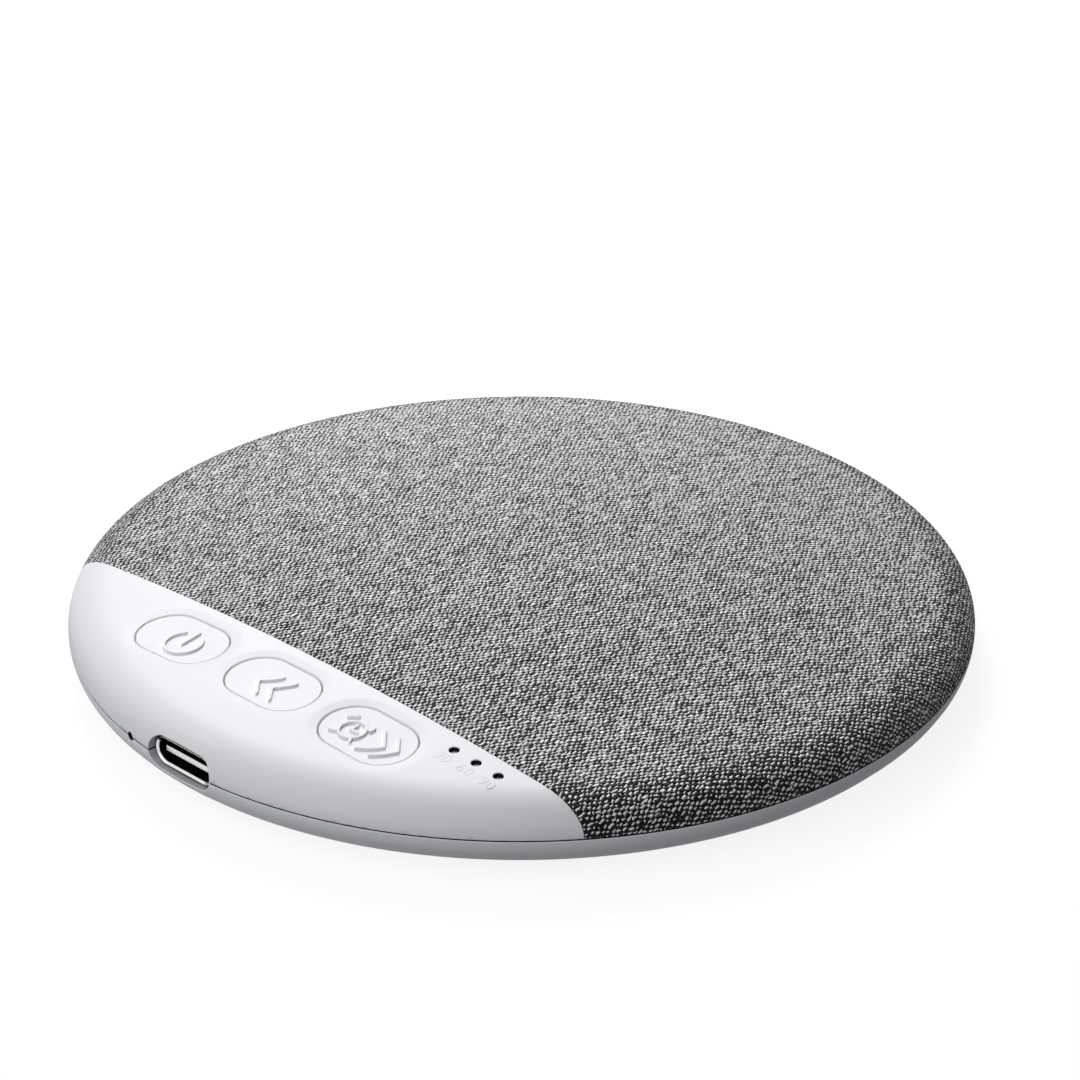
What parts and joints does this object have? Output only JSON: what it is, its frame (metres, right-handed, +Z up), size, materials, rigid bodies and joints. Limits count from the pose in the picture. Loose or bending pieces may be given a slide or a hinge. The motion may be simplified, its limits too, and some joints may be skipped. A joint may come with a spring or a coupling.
{
  "type": "white noise sound machine",
  "caption": "Thin round bedside sound machine: cloth-covered speaker dome, white control panel with push buttons and lamps, USB-C port in the front edge.",
  "frame": {"origin": "centre of the case's bounding box, on the plane that the rubber feet stand on", "axes": "+Z up through the thickness, -Y towards the control panel and the USB-C port, +X along the row of buttons from power to next"},
  "size_m": [0.1, 0.0998, 0.0114],
  "materials": {
    "base_abs": "fine satin moulded white",
    "panel_abs": "fine satin moulded white",
    "grille_abs": "matt moulded charcoal",
    "speaker_cloth": "plain weave of white slub yarn on charcoal yarn",
    "button_abs": "satin moulded white",
    "switch_plastic": "matt black nylon",
    "board_laminate": "green solder mask",
    "screw_steel": "zinc plated",
    "chip_epoxy": "matt black moulding compound",
    "chip_ceramic": "tan ceramic",
    "port_steel": "nickel plated sheet",
    "port_polymer": "moulded white polymer",
    "contact_gold": "gold plated",
    "lamp_epoxy": "pale yellow lens",
    "guide_smoked": "smoked acrylic",
    "cell_foil": "matt laminate foil",
    "pad_foam": "closed-cell foam",
    "lead_pvc": "satin sleeve",
    "basket_paint": "matt black",
    "magnet_steel": "zinc plated",
    "coil_copper": "enamelled winding",
    "cone_paper": "pressed paper",
    "surround_rubber": "matt rubber",
    "foot_rubber": "matt light grey rubber"
  },
  "bodies": {
    "case": {"bottom_shell": "base_abs", "control_panel": "panel_abs", "grille_plate": "grille_abs", "speaker_cloth": "speaker_cloth", "power_switch": "switch_plastic", "back_switch": "switch_plastic", "next_switch": "switch_plastic", "main_board": "board_laminate", "board_screws": "screw_steel", "control_chip": "chip_epoxy", "amplifier_chip": "chip_epoxy", "memory_chip": "chip_epoxy", "board_parts": "chip_ceramic", "usb_shell": "port_steel", "usb_insulator": "port_polymer", "usb_contacts": "contact_gold", "timer_lamps": "lamp_epoxy", "timer_light_guide": "guide_smoked", "charge_lamp": "lamp_epoxy", "charge_light_guide": "guide_smoked", "battery_cell": "cell_foil", "battery_pad": "pad_foam", "battery_socket": "port_polymer", "battery_leads": "lead_pvc", "speaker_basket": "basket_paint", "speaker_yoke": "magnet_steel", "speaker_magnet": "magnet_steel", "pole_plate": "magnet_steel", "cone_surround": "surround_rubber", "speaker_gasket": "pad_foam", "speaker_tab": "chip_ceramic", "speaker_leads": "lead_pvc", "speaker_foam": "pad_foam", "case_screws": "screw_steel", "rubber_feet": "foot_rubber"},
    "power_key": {"power_button": "button_abs", "power_plunger": "switch_plastic"},
    "back_key": {"back_button": "button_abs", "back_plunger": "switch_plastic"},
    "next_key": {"next_button": "button_abs", "next_plunger": "switch_plastic"},
    "diaphragm": {"voice_coil": "coil_copper", "speaker_cone": "cone_paper", "dust_cap": "cone_paper"}
  },
  "joints": [
    {"name": "power_press", "type": "slide", "parent": "case", "child": "power_key", "axis": [0, 0, -1], "range_m": [0, 0.0003], "stiffness_N_per_m": 4000},
    {"name": "back_press", "type": "slide", "parent": "case", "child": "back_key", "axis": [0, 0, -1], "range_m": [0, 0.0003], "stiffness_N_per_m": 4000},
    {"name": "next_press", "type": "slide", "parent": "case", "child": "next_key", "axis": [0, 0, -1], "range_m": [0, 0.0003], "stiffness_N_per_m": 4000},
    {"name": "cone_throw", "type": "slide", "parent": "case", "child": "diaphragm", "axis": [0, 0, 1], "range_m": [-0.0004, 0.0004], "stiffness_N_per_m": 2500, "deforming": ["cone_surround"]}
  ]
}
